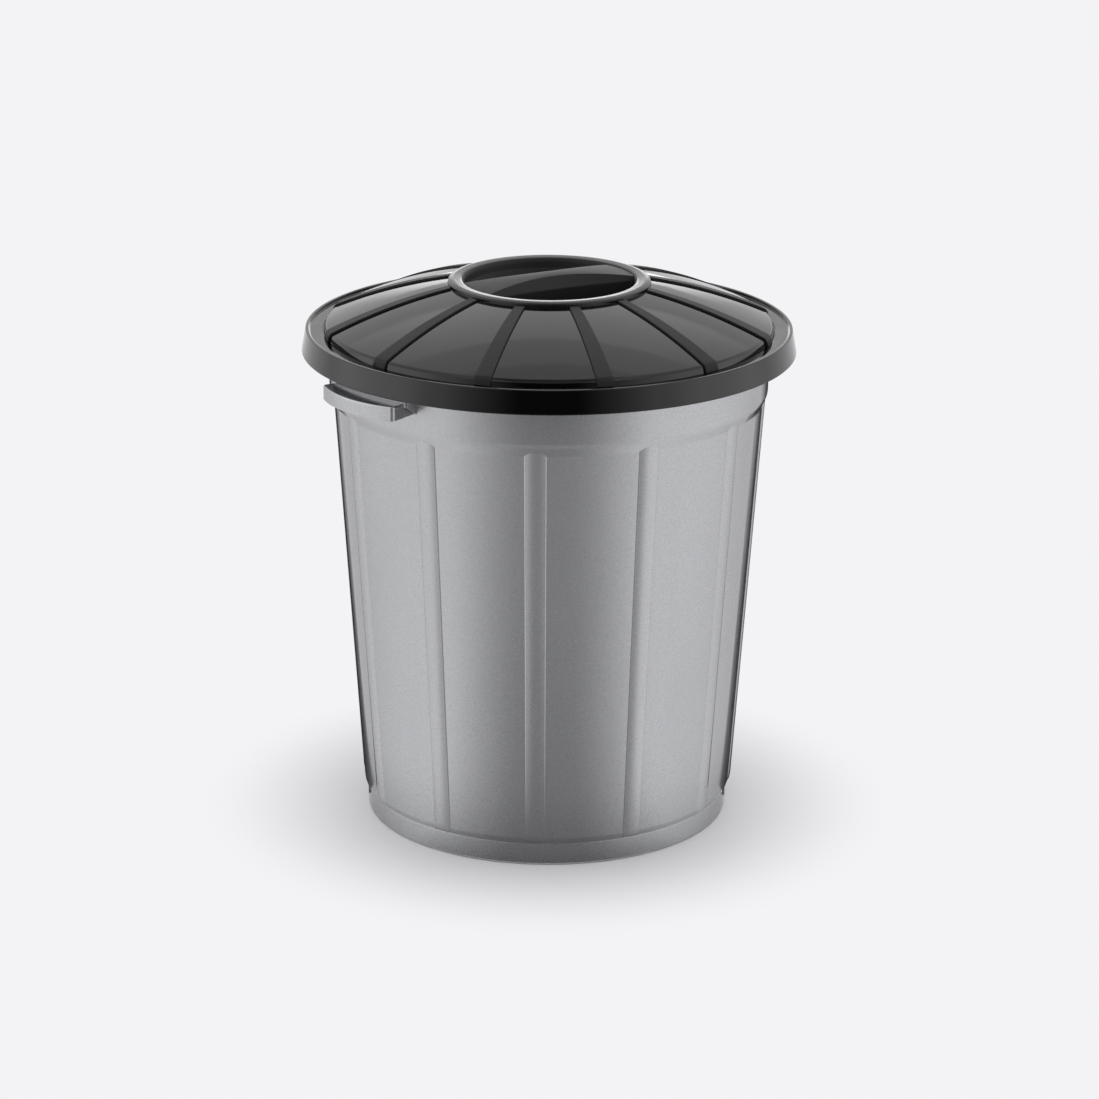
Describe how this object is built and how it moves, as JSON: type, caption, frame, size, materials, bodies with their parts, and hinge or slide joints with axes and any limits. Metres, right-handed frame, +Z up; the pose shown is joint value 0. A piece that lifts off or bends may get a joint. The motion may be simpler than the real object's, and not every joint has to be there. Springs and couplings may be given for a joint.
{
  "type": "waste bin",
  "caption": "Round tapering waste bin in moulded plastic with ledge hand grips and a domed lift-off lid with a sunk grip.",
  "frame": {"origin": "on the floor at the middle of the bin", "axes": "+Z up, the two hand grips along +X and -X"},
  "size_m": [0.4818, 0.46, 0.5202],
  "materials": {
    "silver_plastic": "silver metallic, moulded",
    "black_plastic": "gloss black, moulded, with matt strips"
  },
  "bodies": {
    "bucket_body": {"bucket": "silver_plastic"},
    "lid_body": {"lid": "black_plastic", "lid_grip": "black_plastic"}
  },
  "joints": [
    {"name": "lid_lift", "type": "slide", "parent": "bucket_body", "child": "lid_body", "axis": [0, 0, 1], "range_m": [0, 0.2]}
  ]
}
